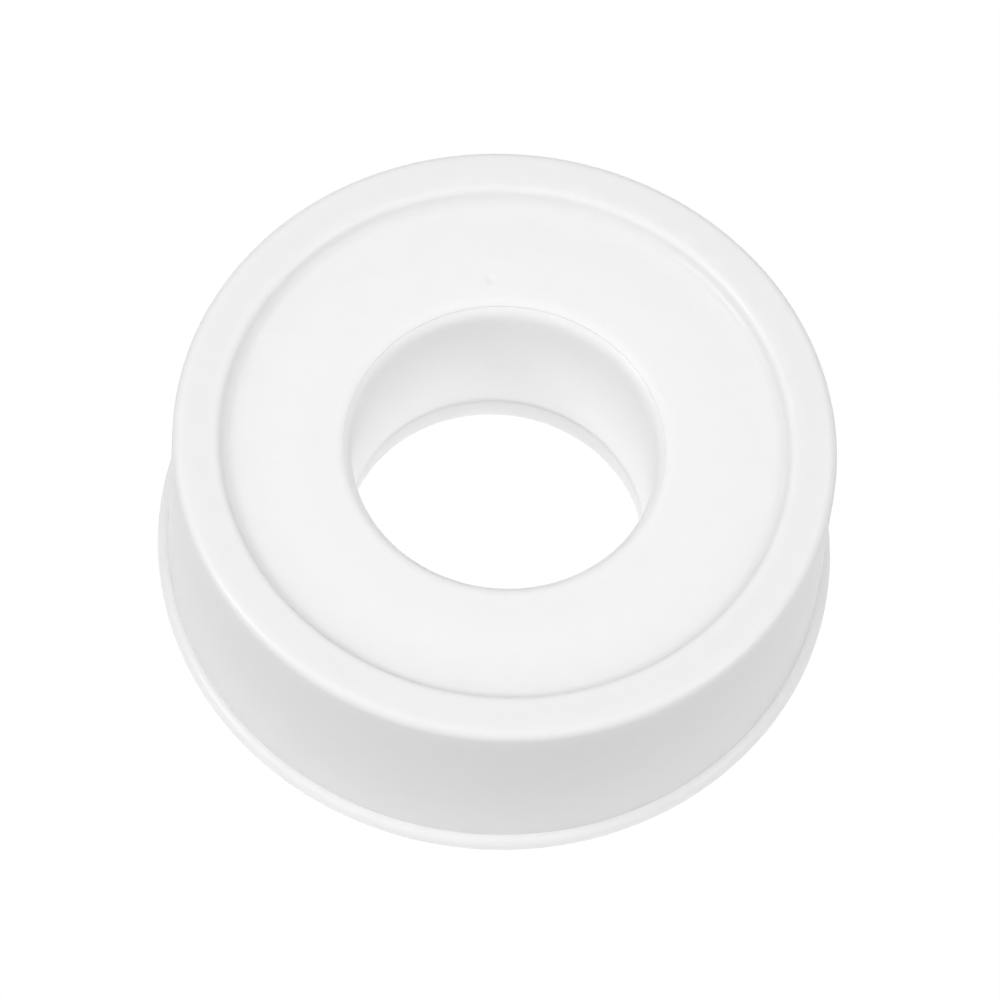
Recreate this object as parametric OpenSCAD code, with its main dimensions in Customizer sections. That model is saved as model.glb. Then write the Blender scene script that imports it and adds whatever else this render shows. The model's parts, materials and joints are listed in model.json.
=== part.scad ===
// Thread seal tape roll: a round cover plugged onto a flanged spool that holds wound tape.
// It stands on its open end, with the base at z = 0 and the axis of the roll along Z.

/* [Tape] */
// Width of the tape
tape_width = 12; // [8:0.5:25]
// Thickness of the tape
tape_thickness = 0.075; // [0.05:0.005:0.15]
// Length of tape on the roll
tape_length = 10000; // [5000:500:15000]
// Angle that the last turn covers before it lifts off
last_turn_angle = 330; // [270:5:340]

/* [Cover] */
// Diameter of the hole through the roll
bore_diameter = 20.6; // [12:0.1:40]
// Wall of the central tube
tube_wall = 1.1; // [0.8:0.05:2]
// Thickness of the recessed panel and of the rim around it
panel_thickness = 1.2; // [0.8:0.05:2.5]
// Height of the rim above the panel's crown
rim_step = 0.85; // [0.3:0.05:2]
// How far the panel falls from its crown to the step
panel_fall = 0.1; // [0:0.02:0.4]
// Distance from the step to the shallow valley around the panel
valley_width = 1.9; // [1:0.1:3]
// How far the panel falls from its crown to that valley
valley_fall = 0.22; // [0:0.02:0.4]
// How far the panel falls from its crown to the mouth of the hole
mouth_drop = 0.1; // [0:0.02:0.4]
// How far the dished mouth of the hole reaches out from the bore
mouth_width = 0.95; // [0.7:0.05:2]
// How far the mouth falls from the panel to the fine step in it
mouth_fall = 0.2; // [0.06:0.02:0.4]
// Height of the fine step in the mouth, where two parts of the mould met
mouth_step = 0.14; // [0.04:0.02:0.3]
// Width of the ledge between the fine step and the bore, flare and all
mouth_ledge = 0.63; // [0.2:0.01:0.65]
// How far that ledge falls from the fine step to the flare
mouth_ledge_fall = 0.34; // [0.06:0.02:0.5]
// How much wider in radius the flared top of the bore is
flare = 0.12; // [0.02:0.02:0.18]
// Height of the flare
flare_height = 1.6; // [1:0.1:4]
// Width of the hollow under the rim
rim_hollow = 1.1; // [0.5:0.05:3]
// Wall between the recessed panel and the hollow under the rim
step_wall = 0.9; // [0.6:0.05:2]
// How far the step leans inwards from the rim to the panel
step_lean = 0.3; // [0.1:0.05:1]
// Wall of the skirt
skirt_wall = 1.1; // [0.8:0.05:2]
// Draft of the skirt, in degrees
skirt_draft = 0.4; // [0:0.1:3]
// Height of the lip at the open end
lip_height = 1.25; // [0.6:0.05:3]
// How far the lip stands out from the skirt
lip_projection = 0.7; // [0.3:0.05:2]
// Diameter of the gate mark on the panel
gate_diameter = 0.9; // [0.4:0.1:2]
// Depth of the gate mark
gate_depth = 0.12; // [0.05:0.01:0.3]

/* [Spool] */
// Wall of the hub that the tape is wound on
hub_wall = 1; // [0.8:0.05:2]
// Thickness of the flange that closes the open end
flange_thickness = 1.2; // [0.8:0.05:2.5]
// Height of the ledge in the hub that the cover's tube seats on
ledge_height = 2.3; // [1.5:0.1:4]
// How far the hole in the ledge is set back from the cover's bore
ledge_setback = 0.05; // [0.02:0.01:0.6]

/* [Fits] */
// Clearance around the cover's tube in the hub
tube_fit = 0.05; // [0.02:0.01:0.1]
// Clearance between the winding and the hub
winding_fit = 0.05; // [0.02:0.01:0.1]
// Room between the winding and the skirt, for the loose end of the tape
tape_room = 1.6; // [0.8:0.1:4]
// Gap between the flange and the tape
gap_below_tape = 0.3; // [0.2:0.05:1]
// Gap between the tape and the panel
gap_above_tape = 0.45; // [0.35:0.05:1]
// Gap between the top of the hub and the panel
hub_gap = 0.3; // [0.2:0.05:0.8]
// Gap between the end of the tube and its ledge
seat_gap = 0.05; // [0.05:0.05:0.5]
// Slit between the flange and the skirt that the tape is drawn through
slit_gap = 0.45; // [0.3:0.05:1.5]
// Gap between the last turn and the winding under it
turn_gap = 0.02; // [0.01:0.01:0.1]

/* [Rounding] */
// Round where the panel dips into the mouth of the hole
mouth_round = 1.3; // [0.5:0.1:3]
// Round of the edge of the hole
hole_round = 1.2; // [0.1:0.05:1.5]
// Round of the outer edge of the rim
rim_round = 0.65; // [0.2:0.05:1.5]
// Round of the inner edge of the rim
step_round = 0.6; // [0.1:0.05:1.2]
// Hollow round where the step meets the panel
step_foot_round = 0.9; // [0.1:0.05:1.2]
// Round of the lower edge of the lip
lip_base_round = 0.35; // [0.1:0.05:0.8]
// Round of the upper edge of the lip
lip_edge_round = 0.75; // [0.1:0.05:1]
// Hollow round where the skirt meets the lip
lip_foot_round = 0.05; // [0.05:0.05:0.8]
// Round of the inner corners of the cover and of its free edges
inner_round = 0.3; // [0.1:0.05:0.5]
// Round of the edges of the flange
flange_round = 0.4; // [0.1:0.05:0.6]
// Hollow round where the hub meets the flange
hub_foot_round = 0.25; // [0.1:0.05:0.4]
// Round of the edges of the hub
hub_round = 0.25; // [0.1:0.05:0.5]
// Round of the end of the tube and of its ledge, on the side of the hole
seat_round = 0.08; // [0.02:0.02:0.3]

/* [Hidden] */
$fn = 128;
overrun = 1;
// Depth of the edge at which a round starts and ends, so that no sliver is left there
round_relief = 0.004;
cover_color = "whitesmoke";
spool_color = "white";
tape_color = "snow";

// Shares: how much of an edge two rounds may use up, how far into its room the loose end stands,
// where on the panel its crown and the gate mark lie, from the mouth of the hole to the step,
// and how wide the floor of the gate mark is
round_share = 0.98;
loose_end_share = 0.55;
crown_share = 0.4;
gate_place_share = 0.2;
gate_floor_share = 0.6;
gate_angle = 100;

// Radii, from the axis outwards
bore_r = bore_diameter / 2;
mouth_ledge_r = bore_r + mouth_ledge;
mouth_r = bore_r + mouth_width;
ledge_r = bore_r + ledge_setback;
tube_r = bore_r + tube_wall;
hub_bore_r = tube_r + tube_fit;
hub_r = hub_bore_r + hub_wall;
winding_bore_r = hub_r + winding_fit;
winding_r = sqrt(pow(winding_bore_r, 2) + tape_length * tape_thickness / PI);
skirt_top_r = winding_r + tape_room + skirt_wall;

// Heights, from the base upwards
tape_z = flange_thickness + gap_below_tape;
panel_under_z = tape_z + tape_width + gap_above_tape;
panel_z = panel_under_z + panel_thickness;
brink_z = panel_z - mouth_drop;
mouth_z = brink_z - mouth_fall;
mouth_ledge_z = mouth_z - mouth_step;
hole_edge_z = mouth_ledge_z - mouth_ledge_fall;
flare_z = hole_edge_z - flare_height;
rim_under_z = panel_under_z + rim_step;
rim_z = panel_z + rim_step;
hub_top_z = panel_under_z - hub_gap;
tube_end_z = ledge_height + seat_gap;

// The drafted skirt widens towards the base
function skirt_r(z) = skirt_top_r + (rim_z - z) * tan(skirt_draft);
function skirt_bore_r(z) = skirt_r(z) - skirt_wall;

lip_r = skirt_r(lip_height) + lip_projection;
step_r = skirt_bore_r(rim_under_z) - rim_hollow - step_wall;
panel_r = step_r - step_lean;
valley_r = panel_r - valley_width;
crown_r = mouth_r + (panel_r - mouth_r) * crown_share;
flange_r = skirt_bore_r(flange_thickness) - slit_gap;

// The gate mark is a shallow dish with a flat floor
gate_r = gate_diameter / 2;
gate_place_r = mouth_r + (panel_r - mouth_r) * gate_place_share;
gate_z = brink_z + mouth_drop * gate_place_share / crown_share;

// The last turn lies on the winding, and its loose end runs straight on from there
turn_r = winding_r + turn_gap;
open_angle = 360 - last_turn_angle;
loose_end_r = turn_r + tape_room * loose_end_share;
loose_end_length = sqrt(pow(loose_end_r, 2) - pow(turn_r, 2));

// Section corners as [radius, height, round], anticlockwise from the base of the lip
cover_corners = [
    [lip_r, 0, lip_base_round],
    [lip_r, lip_height, lip_edge_round],
    [skirt_r(lip_height), lip_height, lip_foot_round],
    [skirt_top_r, rim_z, rim_round],
    [step_r, rim_z, step_round],
    [panel_r, panel_z - panel_fall, step_foot_round],
    [valley_r, panel_z - valley_fall, 0],
    [crown_r, panel_z, 0],
    [mouth_r, brink_z, mouth_round],
    [mouth_ledge_r, mouth_z, 0],
    [mouth_ledge_r, mouth_ledge_z, 0],
    [bore_r + flare, hole_edge_z, hole_round],
    [bore_r, flare_z, 0],
    [bore_r, tube_end_z, seat_round],
    [tube_r, tube_end_z, inner_round],
    [tube_r, panel_under_z, inner_round],
    [panel_r + step_wall, panel_under_z, inner_round],
    [step_r + step_wall, rim_under_z, inner_round],
    [skirt_bore_r(rim_under_z), rim_under_z, inner_round],
    [skirt_bore_r(0), 0, inner_round]
];

// Section corners of the spool, anticlockwise from the lower edge of the flange
spool_corners = [
    [flange_r, 0, flange_round],
    [flange_r, flange_thickness, flange_round],
    [hub_r, flange_thickness, hub_foot_round],
    [hub_r, hub_top_z, hub_round],
    [hub_bore_r, hub_top_z, hub_round],
    [hub_bore_r, ledge_height, 0],
    [ledge_r, ledge_height, seat_round],
    [ledge_r, 0, hub_round]
];

// A corner of a section as a point, with the list taken as a closed ring
function corner(c, i) = let (k = (i + len(c)) % len(c)) [c[k][0], c[k][1]];
function unit(v) = v / norm(v);
function towards(c, i, j) = unit(corner(c, j) - corner(c, i));
function half_angle(c, i) = acos(towards(c, i, i - 1) * towards(c, i, i + 1)) / 2;
function is_hollow(c, i) = cross(towards(c, i, i - 1), towards(c, i, i + 1)) > 0;

// How far a round reaches along its edges: as asked, or less where two rounds share a short edge
function asked_reach(c, i) = c[(i + len(c)) % len(c)][2] / tan(half_angle(c, i));
function shared_reach(c, i, j) =
    let (both = asked_reach(c, i) + asked_reach(c, j), room = norm(corner(c, i) - corner(c, j)) * round_share)
    asked_reach(c, i) * room / max(both, room);
function reach(c, i) = min(shared_reach(c, i, i - 1), shared_reach(c, i, i + 1));
function round_r(c, i) = reach(c, i) * tan(half_angle(c, i));
function round_centre(c, i) =
    corner(c, i) + unit(towards(c, i, i - 1) + towards(c, i, i + 1)) * round_r(c, i) / sin(half_angle(c, i));

// Where a round starts and ends, on the edges towards the corners before and after it
function round_end(c, i, j) = corner(c, i) + towards(c, i, j) * reach(c, i);

// A hollow corner is first filled out to the centre of its round, which is then cut free
function is_filled(c, i) = c[i][2] > 0 && is_hollow(c, i);
function is_cut(c, i) = c[i][2] > 0 && !is_hollow(c, i);
function outline_points(c, i) = is_filled(c, i)
    ? [round_end(c, i, i - 1), round_centre(c, i), round_end(c, i, i + 1)]
    : [corner(c, i)];

// The full circle of a round
module round_disc(c, i) {
    translate(round_centre(c, i)) circle(r = round_r(c, i) - round_relief);
}

// The piece between a sharp corner and its round
module corner_piece(c, i) {
    difference() {
        polygon([corner(c, i), round_end(c, i, i + 1), round_centre(c, i), round_end(c, i, i - 1)]);
        round_disc(c, i);
    }
}

// A section with every corner rounded
module rounded_section(c) {
    difference() {
        polygon([for (i = [0 : len(c) - 1]) each outline_points(c, i)]);
        for (i = [0 : len(c) - 1]) {
            if (is_filled(c, i)) round_disc(c, i);
            if (is_cut(c, i)) corner_piece(c, i);
        }
    }
}

// Cover: rim, recessed panel, skirt with its lip, and central tube, in one moulding
module cover() {
    color(cover_color) difference() {
        rotate_extrude() rounded_section(cover_corners);
        rotate([0, 0, gate_angle]) translate([gate_place_r, 0, gate_z - gate_depth]) gate_dish();
    }
}

// The dish of the gate mark, as deep again above the panel as below it
module gate_dish() {
    cylinder(h = 2 * gate_depth, r1 = gate_r * gate_floor_share, r2 = gate_r * (2 - gate_floor_share));
}

// Spool: hub, inner ledge and flange in one moulding
module spool() {
    color(spool_color) rotate_extrude() rounded_section(spool_corners);
}

// Wound core of the tape
module tape_winding() {
    color(tape_color) translate([0, 0, tape_z]) difference() {
        cylinder(r = winding_r, h = tape_width);
        translate([0, 0, -overrun]) cylinder(r = winding_bore_r, h = tape_width + 2 * overrun);
    }
}

// Part of the circle that the last turn leaves open, as a triangle that reaches past it
module open_sector() {
    sector_r = 2 * turn_r;
    polygon([[0, 0], [sector_r, 0], [sector_r * cos(open_angle), sector_r * sin(open_angle)]]);
}

// Last turn of the tape, with its loose end
module tape_free_end() {
    color(tape_color) translate([0, 0, tape_z]) linear_extrude(tape_width) {
        difference() {
            circle(r = turn_r + tape_thickness);
            circle(r = turn_r);
            open_sector();
        }
        translate([turn_r, 0]) square([tape_thickness, loose_end_length]);
    }
}

cover();
spool();
tape_winding();
tape_free_end();
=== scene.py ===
"""Thread seal tape roll: its finished surfaces, materials, studio and camera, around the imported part.

Lengths are metres in the part's own frame: Z runs up the axis of the roll, and the base is at z = 0.
The cover and the spool are turned sections, and the tape is a wound strip with a loose end.
"""

import json
import logging
import math
from collections.abc import Mapping, Sequence
from dataclasses import dataclass
from enum import Enum
from typing import Any

import bmesh
import bpy
import numpy as np
from mathutils import Matrix, Vector


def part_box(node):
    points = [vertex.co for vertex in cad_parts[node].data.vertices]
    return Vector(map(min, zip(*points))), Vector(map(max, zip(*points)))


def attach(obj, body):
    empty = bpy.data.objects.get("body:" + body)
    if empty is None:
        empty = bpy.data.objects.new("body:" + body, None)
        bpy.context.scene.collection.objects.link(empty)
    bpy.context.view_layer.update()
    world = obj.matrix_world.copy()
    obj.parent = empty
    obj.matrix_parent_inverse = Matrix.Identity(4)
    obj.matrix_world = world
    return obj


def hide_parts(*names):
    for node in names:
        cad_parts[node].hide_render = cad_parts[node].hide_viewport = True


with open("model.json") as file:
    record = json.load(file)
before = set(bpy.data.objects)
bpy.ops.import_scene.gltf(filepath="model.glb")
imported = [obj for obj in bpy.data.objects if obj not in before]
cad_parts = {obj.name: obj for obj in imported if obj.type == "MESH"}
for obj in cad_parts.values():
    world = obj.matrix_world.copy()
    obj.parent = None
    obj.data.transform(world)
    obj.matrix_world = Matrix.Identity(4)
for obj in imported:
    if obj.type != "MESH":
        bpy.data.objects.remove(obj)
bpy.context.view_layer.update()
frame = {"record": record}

MM = 0.001
WINDING_FIT = 0.05 * MM
SAME_POINT = 2e-5 * MM
WELD_REACH = 1e-4 * MM
FULL_TURN = 2 * math.pi
# The values that a noise texture mostly stays between
NOISE_LOW, NOISE_HIGH = 0.3, 0.7
LOG = logging.getLogger("tape_roll")
Array = np.ndarray


class Body(Enum):
    """The moving bodies of the part."""

    SPOOL = "spool"
    COVER = "cover"
    TAPE = "tape"


class Slot(Enum):
    """The material slots of the record."""

    COVER = "cover_plastic"
    SPOOL = "spool_plastic"
    TAPE = "tape_film"


# Small helpers


def linear(hex_colour: str) -> tuple[float, float, float, float]:
    """Turn an sRGB hex colour into linear light.

    Args:
        hex_colour: The colour as #RRGGBB.

    Returns:
        Red, green, blue and alpha for a shader socket.
    """
    srgb = np.array([int(hex_colour[i:i + 2], 16) for i in (1, 3, 5)]) / 255
    light = np.where(srgb <= 0.04045, srgb / 12.92, ((srgb + 0.055) / 1.055) ** 2.4)
    return (*(float(x) for x in light), 1.0)


def pattern_scale(size_mm: float) -> float:
    """Texture scale, in cycles per metre, of a pattern whose grains are size_mm wide."""
    return 1 / (size_mm * MM)


def unit(vectors: Array) -> Array:
    """Vectors of length one, along the last axis."""
    return vectors / np.linalg.norm(vectors, axis=-1, keepdims=True)


# Sections and surfaces


@dataclass(frozen=True)
class Corner:
    """A corner of a turned section: its radius, height and round, in metres."""

    radius: float
    height: float
    round: float


def subdivided(outline: Array, spacing: float | Array) -> Array:
    """Split the edges of a closed outline.

    Point k of n on an edge lies (1 - cos(pi k / n)) / 2 of the way along it, so the points are closer
    together at the ends, where a flat stretch meets a round.

    Args:
        outline: Points as (n, 2).
        spacing: The mean step, for all edges or for each.

    Returns:
        The same outline with more points, and none twice.
    """
    apart = np.linalg.norm(np.roll(outline, -1, 0) - outline, axis=1)
    kept = apart > SAME_POINT
    outline, spacing = outline[kept], np.broadcast_to(spacing, len(kept))[kept]
    step = np.roll(outline, -1, 0) - outline
    count = np.maximum(np.ceil(np.linalg.norm(step, axis=1) / spacing).astype(int), 1)
    edge = np.repeat(np.arange(len(outline)), count)
    place = np.arange(count.sum()) - (np.cumsum(count) - count)[edge]
    share = (1 - np.cos(np.pi * place / count[edge])) / 2
    return outline[edge] + step[edge] * share[:, None]


def rounded_section(
    corners: Sequence[Corner], spacing: float, arc_steps: int = 10, edge_share: float = 0.98
) -> Array:
    """Closed section through rounded corners.

    At a corner p, with a and b the unit directions to its neighbours and h half the angle between
    them, a round of radius q leaves both edges q / tan(h) from p, and its centre is
    p + unit(a + b) q / sin(h). Two rounds on one short edge share it in proportion.

    Args:
        corners: The corners, anticlockwise.
        spacing: The mean step along a straight edge.
        arc_steps: Points on each round.
        edge_share: How much of an edge two rounds may use up.

    Returns:
        Points of radius and height, as (n, 2).
    """
    table = np.array([(c.radius, c.height, c.round) for c in corners])
    point, asked = table[:, :2], table[:, 2]
    edge = np.roll(point, -1, 0) - point
    before, after = unit(-np.roll(edge, 1, 0)), unit(edge)
    half = np.arccos((before * after).sum(1)) / 2
    want = asked / np.tan(half)
    room = edge_share * np.linalg.norm(edge, axis=1)
    part = room / np.maximum(want + np.roll(want, -1), room)
    reach = want * np.minimum(part, np.roll(part, 1))
    radius = reach * np.tan(half)
    centre = point + unit(before + after) * (radius / np.sin(half))[:, None]
    start = point + before * reach[:, None] - centre
    end = point + after * reach[:, None] - centre
    cross = start[:, 0] * end[:, 1] - start[:, 1] * end[:, 0]
    sweep = np.arctan2(cross, (start * end).sum(1))
    angle = np.arctan2(start[:, 1], start[:, 0])
    turn = angle[:, None] + sweep[:, None] * np.linspace(0, 1, arc_steps)
    circle = np.stack((np.cos(turn), np.sin(turn)), -1)
    arcs = centre[:, None] + radius[:, None, None] * circle
    return subdivided(arcs.reshape(-1, 2), spacing)


def closed_grid(rows: int, columns: int, shift: int = 0, closed_rows: bool = True) -> Array:
    """Quads of a grid that closes on itself.

    Args:
        rows: Points along the section.
        columns: Points around the sweep.
        shift: Rows by which the last column moves on as it meets the first, as in a spiral.
        closed_rows: Whether the last row also meets the first.

    Returns:
        Vertex indices as (n, 4), facing outwards for an anticlockwise section.
    """
    i, j = np.meshgrid(np.arange(rows if closed_rows else rows - 1), np.arange(columns), indexing="ij")
    lift = np.where(j == columns - 1, shift, 0)
    last = rows - 1

    def index(row: Array, column: Array) -> Array:
        """Index of a grid point, with the rows and columns wrapped or held at the end."""
        held = row % rows if closed_rows else np.minimum(row, last)
        return held * columns + column % columns

    corners = (index(i, j), index(i + lift, j + 1), index(i + 1 + lift, j + 1), index(i + 1, j))
    return np.stack(corners, -1).reshape(-1, 4)


def revolved(section: Array, angles: Array) -> tuple[Array, Array]:
    """Ring turned from a section: the point (i, j) is (r_i cos a_j, r_i sin a_j, z_i).

    Args:
        section: Closed section of radius and height, as (n, 2).
        angles: The angles around the axis.

    Returns:
        Vertices as (n, 3) and quads as (m, 4).
    """
    radius, height = section[:, :1], section[:, 1:]
    grid = np.stack((radius * np.cos(angles), radius * np.sin(angles), height + 0 * angles), -1)
    return grid.reshape(-1, 3), closed_grid(len(section), len(angles))


def mesh_object(name: str, vertices: Array, quads: Array, uv: Array | None = None) -> bpy.types.Object:
    """Put a numpy surface into a smooth mesh object at the origin.

    Args:
        name: The piece's name.
        vertices: Points as (n, 3), in metres.
        quads: Vertex indices as (m, 4).
        uv: A UV coordinate for each vertex, as (n, 2), or None.

    Returns:
        The object, linked into the scene.
    """
    mesh = bpy.data.meshes.new(name)
    mesh.vertices.add(len(vertices))
    mesh.vertices.foreach_set("co", np.ascontiguousarray(vertices, np.float32).ravel())
    mesh.loops.add(quads.size)
    mesh.loops.foreach_set("vertex_index", quads.astype(np.int32).ravel())
    mesh.polygons.add(len(quads))
    mesh.polygons.foreach_set("loop_start", np.arange(0, quads.size, 4, dtype=np.int32))
    mesh.polygons.foreach_set("use_smooth", np.ones(len(quads), bool))
    if uv is not None:
        layer = mesh.uv_layers.new(name="film")
        layer.data.foreach_set("uv", uv[quads.ravel()].astype(np.float32).ravel())
    mesh.update(calc_edges=True)
    mesh.validate()
    piece = bpy.data.objects.new(name, mesh)
    bpy.context.scene.collection.objects.link(piece)
    return piece


def add_node(
    tree: bpy.types.NodeTree,
    kind: str,
    settings: Mapping[str, Any] | None = None,
    values: Mapping[str | int, Any] | None = None,
    links: Mapping[str | int, bpy.types.NodeSocket] | None = None,
) -> bpy.types.Node:
    """Add one shader node, with its settings, socket values and incoming links.

    Args:
        tree: The node tree.
        kind: The node's type name.
        settings: Properties of the node itself.
        values: Constants for input sockets, by name or number.
        links: Output sockets that feed input sockets, by name or number.

    Returns:
        The new node.
    """
    node = tree.nodes.new(kind)
    for key, value in (settings or {}).items():
        setattr(node, key, value)
    for key, value in (values or {}).items():
        node.inputs[key].default_value = value
    for key, socket in (links or {}).items():
        tree.links.new(socket, node.inputs[key])
    return node


# Materials


@dataclass(frozen=True)
class MouldedPolypropylene:
    """White injection-moulded polypropylene.

    The mould's polish gives a satin gloss that is crisp on edges. The surface is faintly mottled, and
    light goes into the wall and softens the shades. The colour is painted paler towards the axis: a
    painted glow for light that the white tape behind the thin wall throws back through it.
    """

    name: str
    wall_hex: str
    # Painted glow: a paler colour towards the axis, full within the first of these radii and gone beyond the
    # second
    painted_glow_hex: str
    painted_glow_from: float
    painted_glow_to: float
    # The spread stays above 0.274, where the denoiser starts to draw gloss apart and patches would show
    roughness: float = 0.33
    roughness_spread: float = 0.045
    ior: float = 1.49
    mottle_mm: float = 1.6
    mottle_shade: float = 0.985
    grain_mm: float = 0.28
    grain_depth_mm: float = 0.004
    glow_weight: float = 0.8
    glow_depth_mm: float = 1.0

    def build(self) -> bpy.types.Material:
        """Make the material.

        Returns:
            The material, whose colour follows the distance from the axis of the roll: a painted glow, paler
            towards the axis.
        """
        material = bpy.data.materials.new(self.name)
        material.use_nodes = True
        tree = material.node_tree
        tree.nodes.clear()
        place = add_node(tree, "ShaderNodeTexCoord").outputs["Object"]
        split = add_node(tree, "ShaderNodeSeparateXYZ", links={0: place})
        flat = add_node(
            tree, "ShaderNodeCombineXYZ", links={"X": split.outputs["X"], "Y": split.outputs["Y"]}
        )
        radius = add_node(tree, "ShaderNodeVectorMath", {"operation": "LENGTH"}, links={0: flat.outputs[0]})
        # Painted glow: the share of the paler colour, which grows towards the axis
        painted_glow_mask = add_node(
            tree, "ShaderNodeMapRange", {"interpolation_type": "SMOOTHSTEP"},
            {"From Min": self.painted_glow_to, "From Max": self.painted_glow_from},
            {"Value": radius.outputs["Value"]},
        )
        mottle = add_node(
            tree, "ShaderNodeTexNoise", None,
            {"Scale": pattern_scale(self.mottle_mm), "Detail": 4.0, "Roughness": 0.6}, {"Vector": place},
        )
        grain = add_node(
            tree, "ShaderNodeTexNoise", None,
            {"Scale": pattern_scale(self.grain_mm), "Detail": 2.0}, {"Vector": place},
        )
        # The plastic's colour, painted paler towards the axis as a painted glow
        colour = add_node(
            tree, "ShaderNodeMix", {"data_type": "RGBA"},
            {"A": linear(self.wall_hex), "B": linear(self.painted_glow_hex)}, {"Factor": painted_glow_mask.outputs["Result"]},
        )
        shade = add_node(
            tree, "ShaderNodeMapRange", None,
            {"From Min": NOISE_LOW, "From Max": NOISE_HIGH, "To Min": self.mottle_shade, "To Max": 1.0},
            {"Value": mottle.outputs[0]},
        )
        tinted = add_node(
            tree, "ShaderNodeVectorMath", {"operation": "SCALE"}, None,
            {0: colour.outputs["Result"], "Scale": shade.outputs["Result"]},
        )
        gloss = add_node(
            tree, "ShaderNodeMapRange", None,
            {
                "From Min": NOISE_LOW, "From Max": NOISE_HIGH,
                "To Min": self.roughness - self.roughness_spread,
                "To Max": self.roughness + self.roughness_spread,
            },
            {"Value": mottle.outputs[0]},
        )
        bump = add_node(
            tree, "ShaderNodeBump", None,
            {"Strength": 1.0, "Distance": self.grain_depth_mm * MM}, {"Height": grain.outputs[0]},
        )
        shader = add_node(
            tree, "ShaderNodeBsdfPrincipled", None,
            {
                "IOR": self.ior,
                "Subsurface Weight": self.glow_weight,
                "Subsurface Radius": (1.0, 1.0, 1.0),
                "Subsurface Scale": self.glow_depth_mm * MM,
            },
            {
                "Base Color": tinted.outputs[0],
                "Roughness": gloss.outputs["Result"],
                "Normal": bump.outputs[0],
            },
        )
        add_node(tree, "ShaderNodeOutputMaterial", links={"Surface": shader.outputs[0]})
        return material


@dataclass(frozen=True)
class SealFilm:
    """Unsintered PTFE film, calendered thin: soft, milky and satin, with fine lines along its length."""

    name: str
    film_hex: str = "#F7F7F5"
    shade_hex: str = "#ECECEA"
    roughness: float = 0.48
    ior: float = 1.36
    line_mm: float = 0.35
    line_run_mm: float = 14.0
    line_depth_mm: float = 0.006
    glow_weight: float = 0.3
    glow_depth_mm: float = 0.6

    def build(self) -> bpy.types.Material:
        """Make the material.

        Returns:
            The material, whose lines follow the UV map: U along the tape and V across it, in metres.
        """
        material = bpy.data.materials.new(self.name)
        material.use_nodes = True
        tree = material.node_tree
        tree.nodes.clear()
        film = add_node(tree, "ShaderNodeTexCoord").outputs["UV"]
        stretch = (pattern_scale(self.line_run_mm), pattern_scale(self.line_mm), 1.0)
        along = add_node(tree, "ShaderNodeMapping", None, {"Scale": stretch}, {"Vector": film})
        lines = add_node(
            tree, "ShaderNodeTexNoise", None,
            {"Scale": 1.0, "Detail": 3.0, "Roughness": 0.55}, {"Vector": along.outputs[0]},
        )
        colour = add_node(
            tree, "ShaderNodeMix", {"data_type": "RGBA"},
            {"A": linear(self.shade_hex), "B": linear(self.film_hex)}, {"Factor": lines.outputs[0]},
        )
        bump = add_node(
            tree, "ShaderNodeBump", None,
            {"Strength": 1.0, "Distance": self.line_depth_mm * MM}, {"Height": lines.outputs[0]},
        )
        shader = add_node(
            tree, "ShaderNodeBsdfPrincipled", None,
            {
                "Roughness": self.roughness,
                "IOR": self.ior,
                "Subsurface Weight": self.glow_weight,
                "Subsurface Radius": (1.0, 1.0, 1.0),
                "Subsurface Scale": self.glow_depth_mm * MM,
            },
            {"Base Color": colour.outputs["Result"], "Normal": bump.outputs[0]},
        )
        add_node(tree, "ShaderNodeOutputMaterial", links={"Surface": shader.outputs[0]})
        return material


# Sub-assemblies


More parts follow.
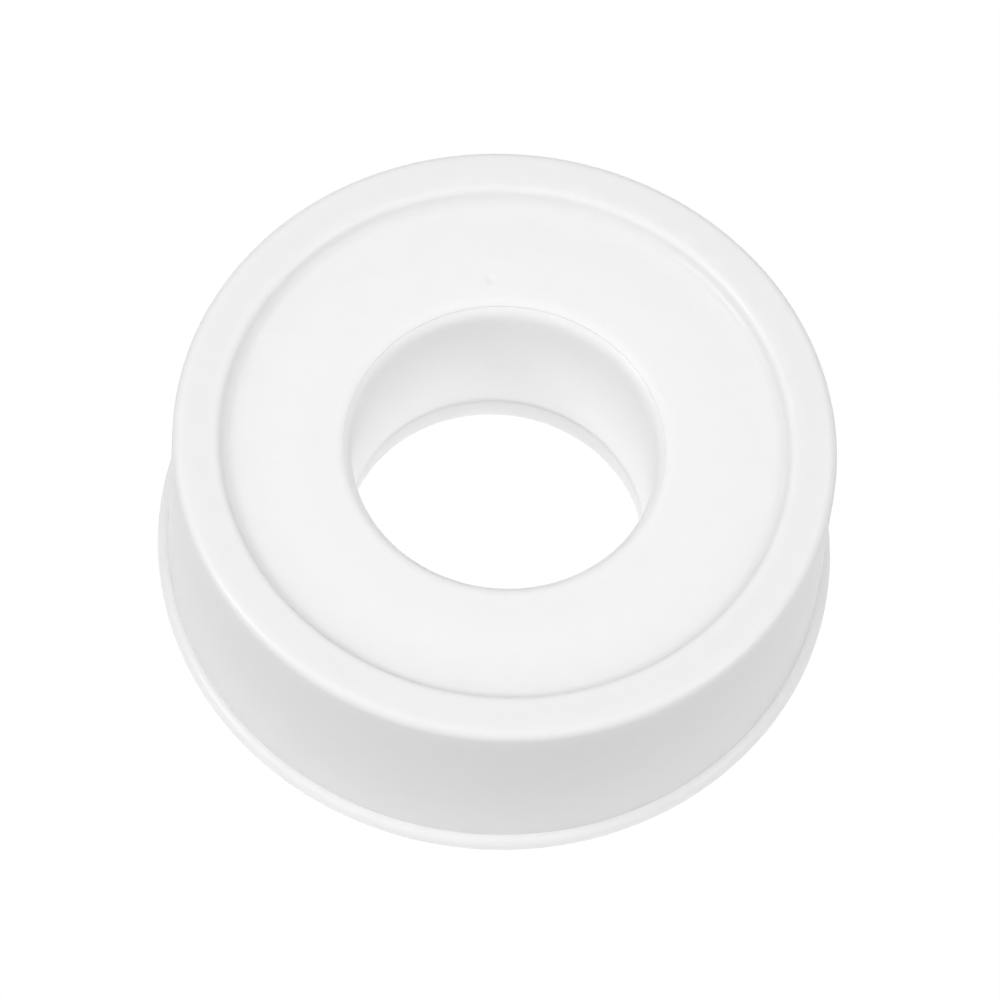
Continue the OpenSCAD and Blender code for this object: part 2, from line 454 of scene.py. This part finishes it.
@dataclass
class Cover:
    """The cover: rim, crowned panel, drafted skirt with its lip, and central tube, in one moulding."""

    lip_radius: float
    height: float
    bore_radius: float
    tube_wall: float = 1.1 * MM
    # The tube sits on the spool's ledge, 2.3 mm up, with a hairline seam
    tube_end: float = 2.308 * MM
    tube_end_round: float = 0.02 * MM
    panel_thickness: float = 1.2 * MM
    rim_step: float = 0.85 * MM
    panel_fall: float = 0.1 * MM
    valley_width: float = 1.9 * MM
    valley_fall: float = 0.22 * MM
    mouth_drop: float = 0.1 * MM
    mouth_width: float = 0.95 * MM
    mouth_fall: float = 0.2 * MM
    mouth_step: float = 0.14 * MM
    mouth_ledge: float = 0.63 * MM
    mouth_ledge_fall: float = 0.34 * MM
    flare: float = 0.12 * MM
    flare_height: float = 1.6 * MM
    flare_round: float = 8 * MM
    rim_hollow: float = 1.1 * MM
    step_wall: float = 0.9 * MM
    step_lean: float = 0.3 * MM
    skirt_wall: float = 1.1 * MM
    skirt_draft_deg: float = 0.4
    lip_height: float = 1.25 * MM
    lip_projection: float = 0.7 * MM
    mouth_round: float = 1.3 * MM
    mouth_edge_round: float = 0.03 * MM
    hole_round: float = 1.2 * MM
    rim_round: float = 0.65 * MM
    step_round: float = 0.6 * MM
    step_foot_round: float = 0.9 * MM
    crown_round: float = 16 * MM
    crown_place: float = 0.4
    valley_round: float = 14 * MM
    lip_base_round: float = 0.35 * MM
    lip_edge_round: float = 0.75 * MM
    lip_foot_round: float = 0.05 * MM
    inner_round: float = 0.3 * MM
    gate_radius: float = 0.45 * MM
    gate_depth: float = 0.12 * MM
    gate_place_radius: float = 12.84 * MM
    gate_angle_deg: float = 100.0
    gate_reach: float = 1.5
    gate_columns: int = 25
    gate_spacing: float = 0.06 * MM
    spacing: float = 0.6 * MM
    around: int = 192

    def skirt_radius(self, height: float) -> float:
        """Outer radius of the drafted skirt at a height."""
        foot = self.lip_radius - self.lip_projection
        return foot - (height - self.lip_height) * math.tan(math.radians(self.skirt_draft_deg))

    def section(self) -> Array:
        """Section of the moulding.

        Returns:
            Points of radius and height, anticlockwise from the base of the lip.
        """
        top = self.height
        panel = top - self.rim_step
        under = panel - self.panel_thickness
        rim_under = top - self.panel_thickness
        tube = self.bore_radius + self.tube_wall
        inside = self.skirt_radius(rim_under) - self.skirt_wall
        step = inside - self.rim_hollow - self.step_wall
        foot = step - self.step_lean
        mouth = self.bore_radius + self.mouth_width
        ledge = self.bore_radius + self.mouth_ledge
        brink = panel - self.mouth_drop
        edge = brink - self.mouth_fall
        brim = edge - self.mouth_step - self.mouth_ledge_fall
        crown = mouth + (foot - mouth) * self.crown_place
        outline = rounded_section(
            (
                Corner(self.lip_radius, 0, self.lip_base_round),
                Corner(self.lip_radius, self.lip_height, self.lip_edge_round),
                Corner(self.skirt_radius(self.lip_height), self.lip_height, self.lip_foot_round),
                Corner(self.skirt_radius(top), top, self.rim_round),
                Corner(step, top, self.step_round),
                Corner(foot, panel - self.panel_fall, self.step_foot_round),
                Corner(foot - self.valley_width, panel - self.valley_fall, self.valley_round),
                Corner(crown, panel, self.crown_round),
                Corner(mouth, brink, self.mouth_round),
                Corner(ledge, edge, self.mouth_edge_round),
                Corner(ledge, edge - self.mouth_step, self.mouth_edge_round),
                Corner(self.bore_radius + self.flare, brim, self.hole_round),
                Corner(self.bore_radius, brim - self.flare_height, self.flare_round),
                Corner(self.bore_radius, self.tube_end, self.tube_end_round),
                Corner(tube, self.tube_end, self.inner_round),
                Corner(tube, under, self.inner_round),
                Corner(foot + self.step_wall, under, self.inner_round),
                Corner(step + self.step_wall, rim_under, self.inner_round),
                Corner(inside, rim_under, self.inner_round),
                Corner(self.skirt_radius(0) - self.skirt_wall, 0, self.inner_round),
            ),
            self.spacing,
        )
        middle = (outline + np.roll(outline, -1, 0)) / 2
        off_gate = np.abs(middle[:, 0] - self.gate_place_radius)
        at_gate = (off_gate < 2 * self.gate_radius) & (middle[:, 1] > under + self.panel_thickness / 2)
        return subdivided(outline, np.where(at_gate, self.gate_spacing, self.spacing))

    def angles(self) -> Array:
        """Angles around the axis, closer together at the gate mark."""
        gate = math.radians(self.gate_angle_deg)
        reach = self.gate_reach * self.gate_radius / self.gate_place_radius
        near = gate + np.linspace(-reach, reach, self.gate_columns)
        plain = np.linspace(0, FULL_TURN, self.around, endpoint=False)
        return np.union1d(plain[np.abs(plain - gate) > reach], near)

    def with_gate_mark(self, vertices: Array) -> Array:
        """Sink the gate mark: depth d (1 - (s / q)^2)^2 at a distance s from its centre, within q.

        Args:
            vertices: Points of the moulding, as (n, 3).

        Returns:
            The points, lowered where the panel carries the mark.
        """
        gate = math.radians(self.gate_angle_deg)
        centre = self.gate_place_radius * np.array((math.cos(gate), math.sin(gate)))
        share = np.linalg.norm(vertices[:, :2] - centre, axis=1) / self.gate_radius
        on_top = vertices[:, 2] > self.height - self.rim_step - self.panel_thickness / 2
        sunk = np.where(on_top, np.clip(1 - share ** 2, 0, None) ** 2, 0)
        return vertices - sunk[:, None] * (0, 0, self.gate_depth)

    def build(self) -> bpy.types.Object:
        """Make the cover and dress it.

        Returns:
            The piece, riding on the cover's body.
        """
        vertices, quads = revolved(self.section(), self.angles())
        piece = mesh_object("cover_moulding", self.with_gate_mark(vertices), quads)
        piece.data.materials.append(
            # The panel is painted paler towards the axis: painted glow for light that the tape throws back
            # through the thin wall
            MouldedPolypropylene(
                "moulded_polypropylene_cover", wall_hex="#F1F1F1", painted_glow_hex="#F9F9F9",
                painted_glow_from=13.0 * MM, painted_glow_to=21.0 * MM,
            ).build()
        )
        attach(piece, Body.COVER.value)
        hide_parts("cover")
        return piece


@dataclass
class Spool:
    """The spool: the hub that the tape is wound on, the ledge inside it and the flange below."""

    flange_radius: float
    hub_top: float
    bore_radius: float
    ledge_setback: float = 0.05 * MM
    ledge_height: float = 2.3 * MM
    tube_wall: float = 1.1 * MM
    tube_fit: float = 0.05 * MM
    hub_wall: float = 1.0 * MM
    flange_thickness: float = 1.2 * MM
    flange_round: float = 0.4 * MM
    hub_foot_round: float = 0.25 * MM
    hub_round: float = 0.25 * MM
    ledge_round: float = 0.02 * MM
    ledge_foot_round: float = 0.02 * MM
    spacing: float = 0.4 * MM
    around: int = 256

    def hub_radius(self) -> float:
        """Radius of the hub that the tape is wound on."""
        return self.bore_radius + self.tube_wall + self.tube_fit + self.hub_wall

    def section(self) -> Array:
        """Section of the moulding.

        Returns:
            Points of radius and height, anticlockwise from the lower edge of the flange.
        """
        ledge = self.bore_radius + self.ledge_setback
        hub_bore = self.bore_radius + self.tube_wall + self.tube_fit
        hub = self.hub_radius()
        return rounded_section(
            (
                Corner(self.flange_radius, 0, self.flange_round),
                Corner(self.flange_radius, self.flange_thickness, self.flange_round),
                Corner(hub, self.flange_thickness, self.hub_foot_round),
                Corner(hub, self.hub_top, self.hub_round),
                Corner(hub_bore, self.hub_top, self.hub_round),
                Corner(hub_bore, self.ledge_height, self.ledge_foot_round),
                Corner(ledge, self.ledge_height, self.ledge_round),
                Corner(ledge, 0, self.hub_round),
            ),
            self.spacing,
        )

    def build(self) -> bpy.types.Object:
        """Make the spool and dress it.

        Returns:
            The piece, riding on the spool's body.
        """
        angles = np.linspace(0, FULL_TURN, self.around, endpoint=False)
        piece = mesh_object("spool_moulding", *revolved(self.section(), angles))
        piece.data.materials.append(
            # The spool is painted a shade greyer than the cover: painted shade for the darker band at the
            # foot of the bore
            MouldedPolypropylene(
                "moulded_polypropylene_spool", wall_hex="#E9E9E9", painted_glow_hex="#E9E9E9",
                painted_glow_from=self.bore_radius, painted_glow_to=self.flange_radius,
            ).build()
        )
        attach(piece, Body.SPOOL.value)
        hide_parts("spool")
        return piece


@dataclass
class Tape:
    """The tape: its wound turns as one spiral, and the last turn with its loose end."""

    inner_radius: float
    outer_radius: float
    low: float
    high: float
    thickness: float = 0.075 * MM
    drawn_pitch: float = 0.15 * MM
    rows_per_turn: int = 4
    around: int = 240
    edge_groove: float = 0.035 * MM
    edge_wander: float = 0.05 * MM
    edge_waves: tuple[tuple[float, float], ...] = ((2.3, 0.0), (0.71, 1.0), (5.9, 2.0))
    turn_gap: float = 0.02 * MM
    turn_angle_deg: float = 330.0
    lift_angle_deg: float = 22.0
    lift_past_turn: float = 0.78
    lift: float = 0.88 * MM
    ripple: float = 0.04 * MM
    ripples_across: float = 1.3
    ripples_per_metre: float = 90.0
    waver: float = 0.06 * MM
    waver_rate: float = 260.0
    waver_start: float = 0.5
    waver_at_rest: float = 0.3
    strip_steps: int = 420
    strip_rows: int = 40

    def edge_height(self, turns: Array, place: Array) -> Array:
        """Height of a wound edge against the flat end of the winding.

        The edge of turn s wanders by the mean of the waves sin(w s + p), for each rate w and start p,
        and the groove between two turns is deepest where the share of the way across a turn is 0 or 1.

        Args:
            turns: Turns wound so far, as a running number.
            place: Share of the way across the turn, from 0 to 1.

        Returns:
            Heights in metres, at most zero.
        """
        wander = sum(np.sin(rate * turns + start) for rate, start in self.edge_waves) / len(self.edge_waves)
        groove = (2 * place - 1) ** 2
        return -self.edge_wander * (1 + wander) / 2 - self.edge_groove * groove

    def winding(self) -> bpy.types.Object:
        """Make the wound turns.

        The end of the winding is one spiral grid: row j at angle a has the radius
        r + p (j / q - 1 + a / full turn), held between the bore and the outside, where p is the pitch
        and q the rows of a turn. The layers are drawn twice as thick as they are, so that they show.

        Returns:
            The piece.
        """
        share = np.arange(self.around) / self.around
        turns = math.ceil((self.outer_radius - self.inner_radius) / self.drawn_pitch) + 1
        rows = turns * self.rows_per_turn + 1
        step = np.arange(rows)[:, None] / self.rows_per_turn - 1
        radius = np.clip(
            self.inner_radius + self.drawn_pitch * (step + share), self.inner_radius, self.outer_radius
        )
        layer = (radius - self.inner_radius) / self.drawn_pitch - share
        whole = np.floor(layer + 1e-6)
        height = self.high + self.edge_height(whole + share, np.clip(layer - whole, 0, 1))
        angle = FULL_TURN * share
        end = np.stack((radius * np.cos(angle), radius * np.sin(angle), height), -1)
        foot = np.stack(
            (
                np.stack((end[-1, :, 0], end[-1, :, 1], np.full(self.around, self.low)), -1),
                np.stack((end[0, :, 0], end[0, :, 1], np.full(self.around, self.low)), -1),
            )
        )
        along = self.inner_radius + radius * angle + 0 * radius
        uv = np.stack((along, radius), -1)
        foot_uv = np.stack((uv[-1] + (0, self.high - self.low), uv[0] - (0, self.high - self.low)))
        grid = closed_grid(rows, self.around, self.rows_per_turn, closed_rows=False)[:, ::-1]
        ring = np.arange(self.around)
        after = np.roll(ring, -1)
        top_in, top_out = ring, (rows - 1) * self.around + ring
        low_out, low_in = rows * self.around + ring, (rows + 1) * self.around + ring
        walls = np.concatenate(
            [
                np.stack((low_out, low_out[after], top_out[after], top_out), -1),
                np.stack((low_in, low_in[after], low_out[after], low_out), -1),
                np.stack((top_in, top_in[after], low_in[after], low_in), -1),
            ]
        )
        vertices = np.concatenate([end.reshape(-1, 3), foot.reshape(-1, 3)])
        coords = np.concatenate([uv.reshape(-1, 2), foot_uv.reshape(-1, 2)])
        piece = mesh_object("tape_wound", vertices, np.concatenate([grid, walls]), coords)
        weld(piece)
        return piece

    def loose_end(self) -> tuple[bpy.types.Object, float]:
        """Make the last turn and its loose end.

        The strip's middle follows the radius r + l t^2, where t runs from 0 to 1 over the stretch that
        lifts off, and l is the lift. Its edges ripple more the further it lifts.

        Returns:
            The piece, and the length of the strip.
        """
        open_angle = FULL_TURN - math.radians(self.turn_angle_deg)
        lift_angle = math.radians(self.lift_angle_deg)
        end = FULL_TURN + lift_angle * self.lift_past_turn
        angle = np.linspace(open_angle, end, self.strip_steps)
        lifted = np.clip((angle - (end - lift_angle)) / lift_angle, 0, None)
        radius = self.outer_radius + self.turn_gap + self.thickness / 2 + self.lift * lifted ** 2
        path = np.stack((radius * np.cos(angle), radius * np.sin(angle)), -1)
        run = np.concatenate([[0], np.cumsum(np.linalg.norm(np.diff(path, axis=0), axis=1))])
        tangent = unit(np.gradient(path, axis=0))
        outward = np.stack((tangent[:, 1], -tangent[:, 0]), -1)
        across = np.linspace(0, 1, self.strip_rows)
        waves = self.ripples_across * across + self.ripples_per_metre * run[:, None]
        ripple = self.ripple * lifted[:, None] * np.sin(FULL_TURN * waves)
        waver = self.waver * np.sin(run * self.waver_rate + self.waver_start) * (self.waver_at_rest + lifted)
        height = self.low + (self.high - self.low) * across + waver[:, None] * (across - 0.5)
        sides = []
        for side in (1, -1):
            offset = ripple + side * self.thickness / 2
            flat = path[:, None] + outward[:, None] * offset[..., None]
            sides.append(np.concatenate([flat, height[..., None]], -1))
        loop = np.concatenate([sides[0], sides[1][:, ::-1]], axis=1)
        rows, columns = loop.shape[1], loop.shape[0]
        vertices = loop.transpose(1, 0, 2).reshape(-1, 3)
        v = np.concatenate([across, across[::-1]]) * (self.high - self.low)
        uv = np.stack(np.broadcast_arrays(run[None, :], v[:, None]), -1).reshape(-1, 2)
        grid = closed_grid(rows, columns).reshape(rows, columns, 4)[:, :-1].reshape(-1, 4)
        half = self.strip_rows
        i = np.arange(half - 1)
        near = np.stack((i, i + 1, rows - 2 - i, rows - 1 - i), -1) * columns
        caps = np.concatenate([near[:, ::-1], near + columns - 1])
        piece = mesh_object("tape_loose_end", vertices, np.concatenate([grid, caps]), uv)
        return piece, float(run[-1])

    def build(self) -> list[bpy.types.Object]:
        """Make and dress both pieces of the tape.

        Returns:
            The wound turns and the loose end, riding on the tape's body.
        """
        film = SealFilm("ptfe_film").build()
        wound = self.winding()
        loose, length = self.loose_end()
        for piece, node in ((wound, "tape_winding"), (loose, "tape_free_end")):
            piece.data.materials.append(film)
            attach(piece, Body.TAPE.value)
            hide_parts(node)
        return [wound, loose]


def weld(piece: bpy.types.Object) -> None:
    """Merge the points of a piece that coincide, and drop the faces that this empties."""
    work = bmesh.new()
    work.from_mesh(piece.data)
    bmesh.ops.remove_doubles(work, verts=work.verts, dist=WELD_REACH)
    bmesh.ops.recalc_face_normals(work, faces=work.faces)
    work.to_mesh(piece.data)
    work.free()


# Studio and camera


@dataclass(frozen=True)
class SoftBox:
    """A square soft light that faces the roll.

    The photo's highlights come from two small lamps, so the large scrims are kept out of reflections.
    """

    name: str
    azimuth_deg: float
    elevation_deg: float
    distance: float
    width: float
    power: float
    mirrored: bool = True

    def build(self, target: Vector) -> bpy.types.Object:
        """Hang the light.

        Args:
            target: The point that it faces.

        Returns:
            The light.
        """
        azimuth, elevation = math.radians(self.azimuth_deg), math.radians(self.elevation_deg)
        towards = Vector((
            math.cos(elevation) * math.sin(azimuth),
            -math.cos(elevation) * math.cos(azimuth),
            math.sin(elevation),
        ))
        lamp = bpy.data.lights.new(self.name, "AREA")
        lamp.size = self.width
        lamp.energy = self.power
        light = bpy.data.objects.new(self.name, lamp)
        light.visible_glossy = self.mirrored
        light.location = target + towards * self.distance
        light.rotation_euler = towards.to_track_quat("Z", "Y").to_euler()
        bpy.context.scene.collection.objects.link(light)
        return light


@dataclass(frozen=True)
class Studio:
    """White table, white surround and soft lights.

    The table throws more light back under the roll, within hole_light_from of its axis, than further
    out. That lights the inside of the hole from below.
    """

    surround: float = 0.27
    floor_hex: str = "#B8B8B8"
    floor_glow: float = 0.9
    floor_white: float = 1.04
    floor_light: float = 0.21
    hole_light: float = 0.59
    hole_light_from: float = 20.0 * MM
    hole_light_to: float = 40.0 * MM
    floor_size: float = 6.0
    floor_drop: float = 0.02 * MM
    lights: tuple[SoftBox, ...] = (
        SoftBox("left_softbox", -74, 38, 0.7, 0.16, 0.92),
        SoftBox("right_softbox", 74, 38, 0.7, 0.16, 0.4),
        SoftBox("front_scrim", 0, 45, 1.0, 0.8, 0.8, mirrored=False),
        SoftBox("top_scrim", 0, 79, 1.0, 0.8, 5.9, mirrored=False),
        SoftBox("back_scrim", 180, 30, 1.0, 0.8, 0.5, mirrored=False),
    )

    @staticmethod
    def seen_directly(tree: bpy.types.NodeTree) -> bpy.types.NodeSocket:
        """Socket that is 1 on camera, glossy and transmission rays, and 0 on others."""
        path = add_node(tree, "ShaderNodeLightPath")
        first = add_node(
            tree, "ShaderNodeMath", {"operation": "ADD", "use_clamp": True},
            links={0: path.outputs["Is Camera Ray"], 1: path.outputs["Is Glossy Ray"]},
        )
        both = add_node(
            tree, "ShaderNodeMath", {"operation": "ADD", "use_clamp": True},
            links={0: first.outputs[0], 1: path.outputs["Is Transmission Ray"]},
        )
        return both.outputs[0]

    def build_world(self) -> None:
        """White surround: full white where it is seen, and a plain level where it lights."""
        world = bpy.data.worlds.new("white_surround")
        bpy.context.scene.world = world
        world.use_nodes = True
        tree = world.node_tree
        tree.nodes.clear()
        level = add_node(
            tree, "ShaderNodeMath", {"operation": "MULTIPLY_ADD"},
            {1: 1 - self.surround, 2: self.surround}, {0: self.seen_directly(tree)},
        )
        sky = add_node(
            tree, "ShaderNodeBackground", None, {"Color": linear("#FFFFFF")}, {"Strength": level.outputs[0]}
        )
        add_node(tree, "ShaderNodeOutputWorld", links={"Surface": sky.outputs[0]})

    def build_floor(self) -> bpy.types.Object:
        """White table that keeps a faint shadow.

        Returns:
            The floor.
        """
        half = self.floor_size / 2
        ground = np.array([(-half, -half), (half, -half), (half, half), (-half, half)])
        vertices = np.column_stack([ground, np.full(4, -self.floor_drop)])
        floor = mesh_object("white_table", vertices, np.array([[0, 1, 2, 3]]))
        material = bpy.data.materials.new("matt_white_table")
        material.use_nodes = True
        tree = material.node_tree
        tree.nodes.clear()
        share = add_node(
            tree, "ShaderNodeMath", {"operation": "MULTIPLY"},
            {1: self.floor_glow}, {0: self.seen_directly(tree)},
        )
        place = add_node(tree, "ShaderNodeTexCoord").outputs["Object"]
        radius = add_node(tree, "ShaderNodeVectorMath", {"operation": "LENGTH"}, links={0: place})
        level = add_node(
            tree, "ShaderNodeMapRange", {"interpolation_type": "SMOOTHSTEP"},
            {
                "From Min": self.hole_light_from, "From Max": self.hole_light_to,
                "To Min": self.hole_light, "To Max": self.floor_light,
            },
            {"Value": radius.outputs["Value"]},
        )
        paper = add_node(tree, "ShaderNodeBsdfDiffuse", None, {"Color": linear(self.floor_hex)})
        pool = add_node(
            tree, "ShaderNodeEmission", None,
            {"Color": linear("#FFFFFF")}, {"Strength": level.outputs["Result"]},
        )
        lit = add_node(tree, "ShaderNodeAddShader", links={0: paper.outputs[0], 1: pool.outputs[0]})
        glow = add_node(
            tree, "ShaderNodeEmission", None, {"Color": linear("#FFFFFF"), "Strength": self.floor_white}
        )
        mixed = add_node(
            tree, "ShaderNodeMixShader", None, None,
            {0: share.outputs[0], 1: lit.outputs[0], 2: glow.outputs[0]},
        )
        add_node(tree, "ShaderNodeOutputMaterial", links={"Surface": mixed.outputs[0]})
        material.cycles.emission_sampling = "NONE"
        floor.data.materials.append(material)
        return floor

    def build(self, target: Vector) -> None:
        """Set up the surround, the table and the lights, which face the target."""
        self.build_world()
        self.build_floor()
        for light in self.lights:
            light.build(target)
        bpy.context.scene.view_settings.view_transform = "Standard"


@dataclass(frozen=True)
class PhotoCamera:
    """The photograph's view: a long lens, high above the roll, rolled a little."""

    aim: tuple[float, float, float] = (0.06 * MM, -3.51 * MM, 13.72 * MM)
    elevation_deg: float = 62.19
    roll_deg: float = 6.06
    distance: float = 542.4 * MM
    lens_mm: float = 288.0
    sensor_mm: float = 36.0

    def build(self) -> bpy.types.Object:
        """Place the camera.

        Returns:
            The scene's camera.
        """
        elevation, roll = math.radians(self.elevation_deg), math.radians(self.roll_deg)
        back = Vector((0, -math.cos(elevation), math.sin(elevation)))
        level, rise = Vector((1, 0, 0)), Vector((0, math.sin(elevation), math.cos(elevation)))
        right = level * math.cos(roll) + rise * math.sin(roll)
        up = rise * math.cos(roll) - level * math.sin(roll)
        lens = bpy.data.cameras.new("photo_camera")
        lens.lens = self.lens_mm
        lens.sensor_width = self.sensor_mm
        lens.sensor_fit = "HORIZONTAL"
        camera = bpy.data.objects.new("photo_camera", lens)
        turn = Matrix((right, up, back)).transposed().to_4x4()
        camera.matrix_world = Matrix.Translation(Vector(self.aim) + back * self.distance) @ turn
        bpy.context.scene.collection.objects.link(camera)
        bpy.context.scene.camera = camera
        return camera


def bore_radius() -> float:
    """Radius of the hole through the roll, from the record's bore mount."""
    mounts = {mount["name"]: mount for mount in frame["record"]["mounts"]}
    return mounts["bore"]["dims"]["r_mm"] * MM


def main() -> None:
    """Build the roll, the studio and the camera, and report each piece."""
    logging.basicConfig(level=logging.INFO, format="%(name)s: %(message)s")
    cover_top, spool_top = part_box("cover")[1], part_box("spool")[1]
    tape_low, tape_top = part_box("tape_winding")
    bore = bore_radius()
    cover = Cover(lip_radius=cover_top[0], height=cover_top[2], bore_radius=bore)
    spool = Spool(flange_radius=spool_top[0], hub_top=spool_top[2], bore_radius=bore)
    tape = Tape(
        inner_radius=spool.hub_radius() + WINDING_FIT,
        outer_radius=tape_top[0], low=tape_low[2], high=tape_top[2],
    )
    PhotoCamera().build()
    for piece in (cover.build(), spool.build(), *tape.build()):
        LOG.info("%s: %d faces", piece.name, len(piece.data.polygons))
    Studio().build(Vector((0, 0, cover_top[2] / 2)))


if __name__ == "__main__":
    main()
